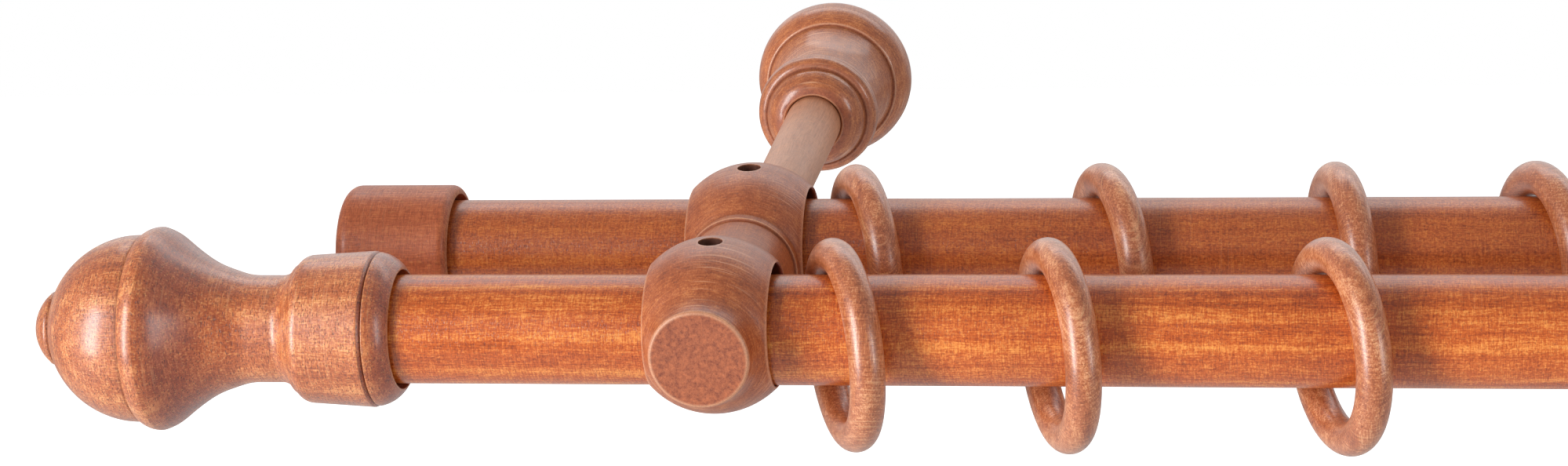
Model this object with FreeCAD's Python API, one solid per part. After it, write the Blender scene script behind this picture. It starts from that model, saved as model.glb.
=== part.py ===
import FreeCAD, Part
import math
import os

# Double curtain rod on two turned beech brackets, with rings, finials and end caps.
# Millimetres. X runs along the poles, +Y points at the wall, +Z is up.
# The origin lies on the wall plane, midway between the brackets, at the height of their arms.

# poles
poleDia = 28.0
poleLength = 1200.0
poleEndChamfer = 1.0

# layout
bracketSpacing = 984.0
frontReach = 225.0
poleSpacing = 60.4

# bracket spindle, turned about Y in one piece
bulgeDia = 44.7
bulgeArcRadius = 26.0
bulgeWidth = 31.6
boreDia = 31.2
noseReach = 25.4
noseFaceDia = 24.0
noseDia = 25.6
noseEdge = 1.0
noseRing = 1.0
noseCoveDia = 30.4
noseEdgeBow = 0.25
noseCoveBow = 0.3
neckDia = 28.4
shoulderDia = 30.0
shoulderReach = 20.7
waistDia = 21.0
waistCove = 3.2
waistCoveBow = 0.5
armStartDia = 15.4
armEndDia = 16.6
armTenon = 14.0

# wall rosette, turned about Y
collarRollDia = 29.7
collarRollLength = 6.8
collarRollBow = 1.5
beadDia = 35.8
beadLip = 0.8
beadWidth = 8.0
beadPeak = 0.4
beadFrontBow = 0.7
beadBackBow = 1.3
bellWaistDia = 30.0
bellLength = 24.2
bellBow = 1.6
rosetteGrooveDia = 38.4
rosetteGrooveStep = 0.8
rosetteDia = 47.4
rosetteRimWidth = 14.4
rosetteRimPeak = 0.55
rimFrontBow = 1.0
rimBackBow = 0.7
rosetteBackDia = 44.0
rosetteMouth = 0.5

# finial, turned about X
finialSocket = 26.5
finialMouthDia = 30.6
finialMouthDepth = 4.0
finialLipLength = 6.0
finialLipDrop = 4.5
finialLipEdge = 0.3
finialLipBow = 0.8
finialGrooveDepth = 1.1
finialGrooveWidth = 1.1
finialCollarDia = 40.2
finialCollarTaper = 1.0
finialCollarLength = 16.4
finialStepDia = 34.6
finialStepLength = 7.9
finialStepBow = 0.4
finialStepBevel = 0.7
finialCoveBow = 0.6
finialNeckDia = 27.7
finialNeckLength = 7.1
finialFlareLength = 25.6
finialRidgeDia = 52.8
finialBeadWidth = 4.4
finialBeadEdge = 0.4
finialBeadBow = 0.5
finialBallDia = 48.7
finialBallLength = 23.8
finialButtonDia = 19.4
finialButtonRing = 1.6
finialButtonEdge = 0.2
finialButtonLength = 6.1

# plain end cap of the rear pole, turned about X
capDia = 36.3
capLength = 31.2
capSocket = 27.0
capRound = 3.8
capMouthRound = 2.4
capMouthDia = 31.4
capMouthDepth = 3.5

# curtain rings
ringDia = 45.6
ringSection = 8.9

# screws
lockHeadDia = 5.6
lockHeadHeight = 1.9
lockShankDia = 3.0
lockLength = 15.0
lockPoint = 3.6
lockWeb = 2.6
counterboreDia = 6.3
crossWidth = 0.9
crossLength = 3.4
crossDepth = 1.0
studDia = 8.0
studArmDia = 7.6
studOut = 50.0
studIn = 30.0
studPoint = 7.0

# clearances
slipFit = 0.08
seatGap = 0.05
ringGap = 0.3
screwFit = 0.05
screwPlay = 0.2

# ring places: distance from the left bracket along the pole, and the ring's turn about Z
frontRingPlaces = [(32.5, 22.6), (86.5, 20.4), (155.6, 22.4), (248.0, 14.0), (343.0, -9.0),
                   (440.0, 19.0), (541.0, 6.0), (642.0, -16.0), (744.0, 12.0), (848.0, -20.0)]
rearRingPlaces = [(30.2, 21.5), (95.9, 21.1), (156.2, 13.3), (208.4, 20.0), (320.0, -12.0),
                  (426.0, 8.0), (531.0, 17.0), (637.0, -7.0), (741.0, 15.0), (846.0, -18.0)]

quarterBow = 1 - math.cos(math.pi / 4)
poleRadius = poleDia / 2
boreRadius = boreDia / 2
bulgeRadius = bulgeDia / 2
frontAxisY = -frontReach
rearAxisY = poleSpacing - frontReach
poleZ = poleRadius + seatGap - boreRadius
bracketX = bracketSpacing / 2
mouthX = poleLength / 2 - finialSocket
capMouthX = poleLength / 2 - capSocket
rosetteDepth = collarRollLength + beadWidth + bellLength + rosetteRimWidth

os.makedirs("parts", exist_ok=True)


def point(a, r):
    return FreeCAD.Vector(a, r, 0)


def line(a0, r0, a1, r1):
    return Part.LineSegment(point(a0, r0), point(a1, r1)).toShape()


def arc(a0, r0, am, rm, a1, r1):
    return Part.Arc(point(a0, r0), point(am, rm), point(a1, r1)).toShape()


def curve(stations):
    spline = Part.BSplineCurve()
    spline.interpolate([point(a, r) for a, r in stations])
    return spline.toShape()


def bend(a0, r0, a1, r1, bow):
    # an arc from one station to the next that stands off its chord by bow, outward when positive
    length = math.hypot(a1 - a0, r1 - r0)
    am = (a0 + a1) / 2 - bow * (r1 - r0) / length
    rm = (r0 + r1) / 2 + bow * (a1 - a0) / length
    return arc(a0, r0, am, rm, a1, r1)


def turned(edges):
    # spins a closed outline about its own X axis
    face = Part.Face(Part.Wire(edges))
    solid = face.revolve(FreeCAD.Vector(0, 0, 0), FreeCAD.Vector(1, 0, 0), 360)
    return solid


def bulgeReach(radius):
    # distance from the fattest point of a bulge to where its arc has thinned to a radius
    drop = bulgeRadius - radius
    return math.sqrt(bulgeArcRadius ** 2 - (bulgeArcRadius - drop) ** 2)


def bulgeSide(centre, a0, a1):
    # one side of a bulge, as an arc about a centre below its fattest point
    am = (a0 + a1) / 2
    radii = [bulgeRadius - bulgeArcRadius + math.sqrt(bulgeArcRadius ** 2 - (a - centre) ** 2)
             for a in (a0, am, a1)]
    return arc(a0, radii[0], am, radii[1], a1, radii[2])


def aimY(shape, y):
    shape.rotate(FreeCAD.Vector(0, 0, 0), FreeCAD.Vector(0, 0, 1), 90)
    shape.translate(FreeCAD.Vector(0, y, 0))
    return shape


def drill(x, y, z0, z1, dia):
    return Part.makeCylinder(dia / 2, z1 - z0, FreeCAD.Vector(x, y, z0), FreeCAD.Vector(0, 0, 1))


def write(shape, node):
    shape.exportStep("parts/" + node + ".step")


# lock screws go down through each bulge into the pole below
lockSeatZ = boreRadius + lockWeb
lockTipZ = lockSeatZ - lockLength
armHoleRadius = studArmDia / 2 + screwFit
rosetteHoleRadius = studDia / 2 + screwFit
poleAxes = [frontAxisY, rearAxisY]


def makePole(y):
    body = Part.makeCylinder(poleRadius, poleLength, FreeCAD.Vector(-poleLength / 2, y, poleZ),
                             FreeCAD.Vector(1, 0, 0))
    rims = [e for e in body.Edges if len(e.Vertexes) == 1]
    body = body.makeChamfer(poleEndChamfer, rims)
    for x in (-bracketX, bracketX):
        body = body.cut(drill(x, y, lockTipZ, boreRadius, lockShankDia + 2 * screwFit))
    return body


write(makePole(frontAxisY), "front_pole")
write(makePole(rearAxisY), "rear_pole")


# the spindle: flat nose, front bulge, neck, rear bulge with its shoulder, waist, arm and tenon
noseEnd = noseEdge + noseRing
frontAt = noseReach
rearAt = frontAt + poleSpacing
coveAt = frontAt - bulgeReach(noseCoveDia / 2)
neckAt = frontAt + bulgeReach(neckDia / 2)
shoulderAt = rearAt - shoulderReach
shoulderEnd = rearAt - bulgeReach(shoulderDia / 2)
waistAt = rearAt + bulgeReach(waistDia / 2)
armAt = waistAt + waistCove
spindleEnd = frontAt + frontReach - rosetteDepth + armTenon


def makeBracket(x):
    edges = [
        line(0, 0, 0, noseFaceDia / 2),
        bend(0, noseFaceDia / 2, noseEdge, noseDia / 2, noseEdgeBow),
        line(noseEdge, noseDia / 2, noseEnd, noseDia / 2),
        bend(noseEnd, noseDia / 2, coveAt, noseCoveDia / 2, -noseCoveBow),
        bulgeSide(frontAt, coveAt, frontAt),
        bulgeSide(frontAt, frontAt, neckAt),
        line(neckAt, neckDia / 2, shoulderAt, neckDia / 2),
        line(shoulderAt, neckDia / 2, shoulderAt, shoulderDia / 2),
        line(shoulderAt, shoulderDia / 2, shoulderEnd, shoulderDia / 2),
        bulgeSide(rearAt, shoulderEnd, rearAt),
        bulgeSide(rearAt, rearAt, waistAt),
        bend(waistAt, waistDia / 2, armAt, armStartDia / 2, -waistCoveBow),
        line(armAt, armStartDia / 2, spindleEnd, armEndDia / 2),
        line(spindleEnd, armEndDia / 2, spindleEnd, 0),
        line(spindleEnd, 0, 0, 0),
    ]
    body = aimY(turned(edges), frontAxisY - frontAt)
    cheeks = Part.makeBox(bulgeWidth, 3 * frontReach, 2 * bulgeDia,
                          FreeCAD.Vector(-bulgeWidth / 2, -2 * frontReach, -bulgeDia))
    body = body.common(cheeks)
    for y in poleAxes:
        body = body.cut(Part.makeCylinder(boreRadius, 2 * bulgeWidth, FreeCAD.Vector(-bulgeWidth, y, 0),
                                          FreeCAD.Vector(1, 0, 0)))
        body = body.cut(drill(0, y, lockSeatZ, bulgeDia, counterboreDia))
        body = body.cut(drill(0, y, 0, bulgeDia, lockShankDia + 2 * screwPlay))
    studHoleY = frontAxisY - frontAt + spindleEnd - studIn
    body = body.cut(Part.makeCylinder(armHoleRadius, studIn, FreeCAD.Vector(0, studHoleY, 0),
                                      FreeCAD.Vector(0, 1, 0)))
    body.translate(FreeCAD.Vector(x, 0, 0))
    return body


write(makeBracket(-bracketX), "left_bracket")
write(makeBracket(bracketX), "right_bracket")


# the rosette, from its mouth round the arm back to the wall: roll, bead, bell, groove and rim
rollAt = collarRollLength
beadAt = rollAt + beadWidth
bellAt = beadAt + bellLength
beadTop = rollAt + beadPeak * beadWidth
rimTop = bellAt + rosetteRimPeak * rosetteRimWidth
armSocketRadius = armEndDia / 2 + slipFit
mouthRadius = armSocketRadius + rosetteMouth


def makeRosette(x):
    rollR = collarRollDia / 2
    beadR = beadDia / 2
    waistR = bellWaistDia / 2
    grooveR = rosetteGrooveDia / 2
    edges = [
        line(armTenon, 0, armTenon, armSocketRadius),
        line(armTenon, armSocketRadius, rosetteMouth, armSocketRadius),
        line(rosetteMouth, armSocketRadius, 0, mouthRadius),
        bend(0, mouthRadius, rollAt, rollR, collarRollBow),
        line(rollAt, rollR, rollAt, rollR + beadLip),
        bend(rollAt, rollR + beadLip, beadTop, beadR, beadFrontBow),
        bend(beadTop, beadR, beadAt, waistR, beadBackBow),
        bend(beadAt, waistR, bellAt, grooveR, -bellBow),
        line(bellAt, grooveR, bellAt, grooveR + rosetteGrooveStep),
        bend(bellAt, grooveR + rosetteGrooveStep, rimTop, rosetteDia / 2, rimFrontBow),
        bend(rimTop, rosetteDia / 2, rosetteDepth, rosetteBackDia / 2, rimBackBow),
        line(rosetteDepth, rosetteBackDia / 2, rosetteDepth, 0),
        line(rosetteDepth, 0, armTenon, 0),
    ]
    body = aimY(turned(edges), -rosetteDepth)
    body = body.cut(Part.makeCylinder(rosetteHoleRadius, 2 * rosetteDepth,
                                      FreeCAD.Vector(0, -rosetteDepth, 0), FreeCAD.Vector(0, 1, 0)))
    body.translate(FreeCAD.Vector(x, 0, 0))
    return body


write(makeRosette(-bracketX), "left_rosette")
write(makeRosette(bracketX), "right_rosette")


# the finial, from the mouth of its socket to its tip
# each curved stretch runs through a few stations: share of its length, share of its rise or radius
flare = [(0, 0), (0.09, 0.02), (0.23, 0.10), (0.42, 0.245), (0.61, 0.475), (0.77, 0.72), (0.91, 0.925),
         (1, 1)]
ball = [(0, 0.998), (0.2, 0.991), (0.4, 0.944), (0.6, 0.851), (0.75, 0.741), (0.87, 0.615),
        (0.95, 0.499), (1, 0.402)]
dome = [(0, 0.96), (0.2, 0.887), (0.45, 0.756), (0.7, 0.572), (0.88, 0.368), (1, 0)]
stepShare = 0.37
bevelShare = 0.5
lipEnd = finialLipLength
grooveEnd = lipEnd + finialGrooveWidth
collarEnd = grooveEnd + finialCollarLength
stepEnd = collarEnd + finialStepLength
neckEnd = stepEnd + finialNeckLength
ridgeAt = neckEnd + finialFlareLength
beadEnd = ridgeAt + finialBeadWidth
ballEnd = beadEnd + finialBallLength
buttonAt = ballEnd + finialButtonRing
finialTip = ballEnd + finialButtonLength
socketRadius = poleRadius + slipFit


def makeFinial():
    collarR = finialCollarDia / 2
    lipR = collarR - finialLipDrop
    shoulderR = collarR - finialCollarTaper
    stepR = finialStepDia / 2
    stepAt = collarEnd + stepShare * finialStepLength
    coveStart = collarEnd + bevelShare * finialStepLength
    coveR = stepR - finialStepBevel
    neckR = finialNeckDia / 2
    ridgeR = finialRidgeDia / 2
    ballR = finialBallDia / 2
    buttonR = finialButtonDia / 2
    ringR = buttonR - finialButtonEdge
    mouthR = finialMouthDia / 2
    grooveR = collarR - finialGrooveDepth
    rise = ridgeR - neckR
    edges = [
        line(finialSocket, 0, finialSocket, socketRadius),
        line(finialSocket, socketRadius, finialMouthDepth, socketRadius),
        line(finialMouthDepth, socketRadius, finialMouthDepth, mouthR),
        line(finialMouthDepth, mouthR, 0, mouthR),
        line(0, mouthR, 0, lipR),
        bend(0, lipR, lipEnd, collarR - finialLipEdge, finialLipBow),
        line(lipEnd, collarR - finialLipEdge, lipEnd, grooveR),
        line(lipEnd, grooveR, grooveEnd, collarR),
        line(grooveEnd, collarR, collarEnd, shoulderR),
        bend(collarEnd, shoulderR, stepAt, stepR, finialStepBow),
        line(stepAt, stepR, coveStart, coveR),
        bend(coveStart, coveR, stepEnd, neckR, -finialCoveBow),
        line(stepEnd, neckR, neckEnd, neckR),
        curve([(neckEnd + t * finialFlareLength, neckR + h * rise) for t, h in flare]),
        bend(ridgeAt, ridgeR, beadEnd, ballR + finialBeadEdge, finialBeadBow),
        line(beadEnd, ballR + finialBeadEdge, beadEnd, ball[0][1] * ballR),
        curve([(beadEnd + t * finialBallLength, h * ballR) for t, h in ball]),
        line(ballEnd, ball[-1][1] * ballR, ballEnd, ringR),
        bend(ballEnd, ringR, buttonAt, ringR, finialButtonEdge),
        line(buttonAt, ringR, buttonAt, dome[0][1] * buttonR),
        curve([(buttonAt + t * (finialTip - buttonAt), h * buttonR) for t, h in dome]),
        line(finialTip, 0, finialSocket, 0),
    ]
    return turned(edges)


rightFinial = makeFinial()
leftFinial = rightFinial.copy()
leftFinial.rotate(FreeCAD.Vector(0, 0, 0), FreeCAD.Vector(0, 0, 1), 180)
rightFinial.translate(FreeCAD.Vector(mouthX, frontAxisY, poleZ))
leftFinial.translate(FreeCAD.Vector(-mouthX, frontAxisY, poleZ))
write(leftFinial, "left_finial")
write(rightFinial, "right_finial")


def makeCap():
    outR = capDia / 2
    mouthR = capMouthDia / 2
    edges = [
        line(capSocket, 0, capSocket, socketRadius),
        line(capSocket, socketRadius, capMouthDepth, socketRadius),
        line(capMouthDepth, socketRadius, capMouthDepth, mouthR),
        line(capMouthDepth, mouthR, 0, mouthR),
        line(0, mouthR, 0, outR - capMouthRound),
        bend(0, outR - capMouthRound, capMouthRound, outR, quarterBow * capMouthRound),
        line(capMouthRound, outR, capLength - capRound, outR),
        bend(capLength - capRound, outR, capLength, outR - capRound, quarterBow * capRound),
        line(capLength, outR - capRound, capLength, 0),
        line(capLength, 0, capSocket, 0),
    ]
    return turned(edges)


rightCap = makeCap()
leftCap = rightCap.copy()
leftCap.rotate(FreeCAD.Vector(0, 0, 0), FreeCAD.Vector(0, 0, 1), 180)
rightCap.translate(FreeCAD.Vector(capMouthX, rearAxisY, poleZ))
leftCap.translate(FreeCAD.Vector(-capMouthX, rearAxisY, poleZ))
write(leftCap, "left_cap")
write(rightCap, "right_cap")


# rings hang from the top of a pole, each turned a little about the vertical
ringRadius = ringDia / 2
sectionRadius = ringSection / 2
ringZ = poleZ + poleRadius + ringGap + sectionRadius - ringRadius


def makeRing(place, turn, y):
    ring = Part.makeTorus(ringRadius, sectionRadius, FreeCAD.Vector(0, 0, 0), FreeCAD.Vector(1, 0, 0))
    ring.rotate(FreeCAD.Vector(0, 0, 0), FreeCAD.Vector(0, 0, 1), turn)
    ring.translate(FreeCAD.Vector(place - bracketX, y, ringZ))
    return ring


ringSets = [("front_ring_", frontAxisY, frontRingPlaces), ("rear_ring_", rearAxisY, rearRingPlaces)]
for name, y, places in ringSets:
    for i, (place, turn) in enumerate(places):
        write(makeRing(place, turn, y), name + "%02d" % (i + 1))


# small fasteners: pan-head lock screws with a cross slot, and studs that hold the arms to the wall
def makeLockScrew(x, y):
    head = Part.makeCylinder(lockHeadDia / 2, lockHeadHeight, FreeCAD.Vector(0, 0, lockSeatZ))
    shank = Part.makeCylinder(lockShankDia / 2, lockLength - lockPoint,
                              FreeCAD.Vector(0, 0, lockTipZ + lockPoint))
    tip = Part.makeCone(0, lockShankDia / 2, lockPoint, FreeCAD.Vector(0, 0, lockTipZ))
    screw = head.fuse([shank, tip]).removeSplitter()
    top = lockSeatZ + lockHeadHeight - crossDepth
    for w, l in ((crossWidth, crossLength), (crossLength, crossWidth)):
        screw = screw.cut(Part.makeBox(w, l, 2 * crossDepth, FreeCAD.Vector(-w / 2, -l / 2, top)))
    screw.translate(FreeCAD.Vector(x, y, 0))
    return screw


lockScrews = [makeLockScrew(x, y) for x in (-bracketX, bracketX) for y in poleAxes]
write(Part.makeCompound(lockScrews), "lock_screws")


def makeStud(x):
    # the end in the arm is the thinner one, and the shoulder between the two lies on the wall plane
    start = armTenon - rosetteDepth - studIn
    edges = [
        line(start, 0, start, studArmDia / 2),
        line(start, studArmDia / 2, 0, studArmDia / 2),
        line(0, studArmDia / 2, 0, studDia / 2),
        line(0, studDia / 2, studOut - studPoint, studDia / 2),
        line(studOut - studPoint, studDia / 2, studOut, 0),
        line(studOut, 0, start, 0),
    ]
    stud = aimY(turned(edges), 0)
    stud.translate(FreeCAD.Vector(x, 0, 0))
    return stud


write(Part.makeCompound([makeStud(x) for x in (-bracketX, bracketX)]), "wall_studs")
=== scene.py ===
import math

import bpy
import numpy as np
from mathutils import Matrix, Vector


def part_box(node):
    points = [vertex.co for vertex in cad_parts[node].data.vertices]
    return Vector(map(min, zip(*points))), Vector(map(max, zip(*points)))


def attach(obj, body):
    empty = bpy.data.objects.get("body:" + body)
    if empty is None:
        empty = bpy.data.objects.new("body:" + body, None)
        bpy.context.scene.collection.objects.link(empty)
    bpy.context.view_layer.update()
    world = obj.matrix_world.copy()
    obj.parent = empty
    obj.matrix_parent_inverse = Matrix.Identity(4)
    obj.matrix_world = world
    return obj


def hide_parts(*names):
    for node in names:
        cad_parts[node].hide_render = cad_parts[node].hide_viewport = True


# Double curtain rod: turned beech, stained and lacquered, on two bracket spindles.
# Lengths in the dictionaries are in millimetres, apart from the studio's, and mm turns them to metres.

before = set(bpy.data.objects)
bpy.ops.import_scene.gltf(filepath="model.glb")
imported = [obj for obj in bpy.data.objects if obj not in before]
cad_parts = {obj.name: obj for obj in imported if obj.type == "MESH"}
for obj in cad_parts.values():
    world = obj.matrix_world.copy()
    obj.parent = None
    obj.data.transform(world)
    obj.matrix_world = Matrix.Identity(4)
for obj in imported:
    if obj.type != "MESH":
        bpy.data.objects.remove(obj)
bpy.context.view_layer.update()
mm = 0.001
print("stage 1: frame loaded")


# where the frame says things are, in millimetres
def middle(node):
    low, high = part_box(node)
    return (np.array(low) + np.array(high)) / 2 / mm


def corner(node, which):
    return np.array(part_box(node)[which]) / mm


frontAxis = middle("front_pole")
rearAxis = middle("rear_pole")
poleEnd = corner("front_pole", 1)[0]
poleRadius = (corner("front_pole", 1)[2] - corner("front_pole", 0)[2]) / 2
bracketX = corner("right_bracket", 1)[0] / 2 + corner("right_bracket", 0)[0] / 2


# the camera, in millimetres and radians
camera = {
    "place": (-332.4, -1040.35, 304.2),
    "focal": 80.25,
    "sensor": 36.0,
    "near": 10.0,
    "yaw": 0.1709,
    "pitch": 0.3262,
    "roll": -0.0572,
}


def makeCamera():
    # looks along yaw about Z, then down by pitch, then rolls about its own line of sight
    yaw, pitch, roll = camera["yaw"], camera["pitch"], camera["roll"]
    forward = Vector((-math.sin(yaw) * math.cos(pitch), math.cos(yaw) * math.cos(pitch), -math.sin(pitch)))
    right = Vector((math.cos(yaw), math.sin(yaw), 0))
    up = right.cross(forward)
    side = right * math.cos(roll) + up * math.sin(roll)
    top = up * math.cos(roll) - right * math.sin(roll)
    data = bpy.data.cameras.new("viewCamera")
    data.lens = camera["focal"]
    data.sensor_width = camera["sensor"]
    data.clip_start = camera["near"] * mm
    body = bpy.data.objects.new("viewCamera", data)
    turn = Matrix((side, top, -forward)).transposed().to_4x4()
    body.matrix_world = Matrix.Translation(Vector(camera["place"]) * mm) @ turn
    bpy.context.collection.objects.link(body)
    bpy.context.scene.camera = body


makeCamera()
bpy.context.scene.view_settings.view_transform = "Standard"
print("stage 2: camera placed")


def colour(code):
    # an sRGB hex value as linear light
    parts = [int(code[i:i + 2], 16) / 255 for i in (0, 2, 4)]
    light = [p / 12.92 if p <= 0.04045 else ((p + 0.055) / 1.055) ** 2.4 for p in parts]
    return (*light, 1.0)


def addNode(tree, kind, inputs=(), **settings):
    # one node with its settings; inputs fill its sockets, by name or in order, and each is a value or,
    # for a link, (node, output)
    node = tree.nodes.new("ShaderNode" + kind)
    for name, value in settings.items():
        setattr(node, name, value)
    for name, value in inputs.items() if isinstance(inputs, dict) else enumerate(inputs):
        if isinstance(value, tuple) and isinstance(value[0], bpy.types.Node):
            tree.links.new(value[0].outputs[value[1]], node.inputs[name])
        else:
            node.inputs[name].default_value = value
    return node


def newMaterial(name):
    material = bpy.data.materials.new(name)
    material.use_nodes = True
    material.node_tree.nodes.clear()
    return material, material.node_tree


# Stained and lacquered beech: it is close grained, with short ray flecks. The stain sinks in
# unevenly, the lathe leaves fine lines and short tears across the grain, and the satin lacquer wears
# through to pale wood on proud edges.
beech = {
    # the cells of each pattern, along the grain and across it
    "drift": (50.0, 18.0), "streak": (150.0, 2.6), "fibre": (6.0, 0.34), "figure": (0.7, 0.42),
    "blotch": (24.0, 15.0), "lathe": (0.4, 4.0), "scratch": (0.34, 16.0), "mottle": (2.4, 1.2),
    "tear": (0.36, 1.4), "fleck": (3.4, 0.75),
    # how far the grain wanders, and how far apart the growth rings are
    "wander": 4.0, "ringSpacing": 3.4,
    # where each pattern starts to show, and where it is full
    "tearShows": (0.36, 0.10), "fleckShows": (0.30, 0.08), "scratchShows": (0.66, 0.76),
    "scratchPatch": (0.45, 0.62), "speckleShows": (0.34, 0.64), "blotchShows": (0.3, 0.7),
    # the width of the tones, and how gloss and relief follow the wood
    "spread": 0.23, "glossier": 0.05, "duller": 0.07, "cutDull": 0.2, "hollowDull": 0.3,
    "relief": 0.2, "fibreRise": 0.6, "figureRise": 0.5, "tearRise": -0.25, "latheRise": 0.3,
    "ior": 1.5,
}

poleLook = {
    "dark": "7a2c0a", "mid": "c45a1c", "light": "f6a250", "fleckTint": "e09a58", "tearTint": "571f0a",
    "wearAndSheenTint": "dca679", "recessTint": "3a170a", "cutTones": ("84442f", "c98a62"),
    "rough": 0.33, "coat": 0.3, "coatRough": 0.22, "bump": 0.45,
    "streakMix": 0.4, "ringMix": 0.2, "fibreMix": 0.5, "figureMix": 0.5, "blotchMix": 0.18,
    "latheMix": 0.45, "fleckMix": 0.25, "tearMix": 0.45, "scratchMix": 0.1, "wearAndSheenMix": 0.8,
    "climbStainAndShadeMix": 0.0, "climbStainAndShadeTint": "d6b4aa", "recessMix": 0.85,
}
rearPoleLook = {**poleLook, "dark": "7a3110", "mid": "b85a26", "light": "dc863c", "streakMix": 0.3,
                "figureMix": 0.8, "ringMix": 0.1}
finialLook = {**poleLook, "dark": "7e3618", "mid": "be622e", "light": "f4aa6a", "streakMix": 0.25,
              "ringMix": 0.2, "fibreMix": 0.4, "figureMix": 0.5, "blotchMix": 0.25, "fleckMix": 0.5,
              "tearMix": 1.0, "scratchMix": 0.3, "wearAndSheenMix": 0.25, "coat": 0.8, "coatRough": 0.27,
              "bump": 1.1, "climbStainAndShadeMix": 1.0, "recessMix": 0.5}
capLook = {**poleLook, "dark": "7f371c", "mid": "b05830", "light": "d07a4a", "streakMix": 0.3,
           "ringMix": 0.1, "figureMix": 0.3, "coat": 0.12, "rough": 0.45, "wearAndSheenMix": 0.3}
bracketLook = {**poleLook, "dark": "76351b", "mid": "a6552c", "light": "ca7e4a", "fleckTint": "c88e66",
               "streakMix": 0.12, "ringMix": 0.1, "fibreMix": 0.3, "figureMix": 0.35, "latheMix": 0.5,
               "tearMix": 0.2, "fleckMix": 0.15, "scratchMix": 0.6, "wearAndSheenMix": 1.3, "coat": 0.25,
               "rough": 0.4, "coatRough": 0.3, "wearAndSheenTint": "e4ad88", "cutTones": ("6c2c1a", "b8663e")}
rosetteLook = {**bracketLook, "dark": "7a381c", "mid": "ac5e32", "light": "d48850", "wearAndSheenMix": 1.1,
               "recessMix": 0.4, "coat": 0.6, "coatRough": 0.18}
ringLook = {**poleLook, "dark": "803c22", "mid": "b8683e", "light": "eeae80", "streakMix": 0.2,
            "ringMix": 0.25, "figureMix": 0.4, "fleckMix": 0.3, "tearMix": 0.4, "coat": 0.7,
            "coatRough": 0.28, "scratchMix": 0.5}


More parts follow.
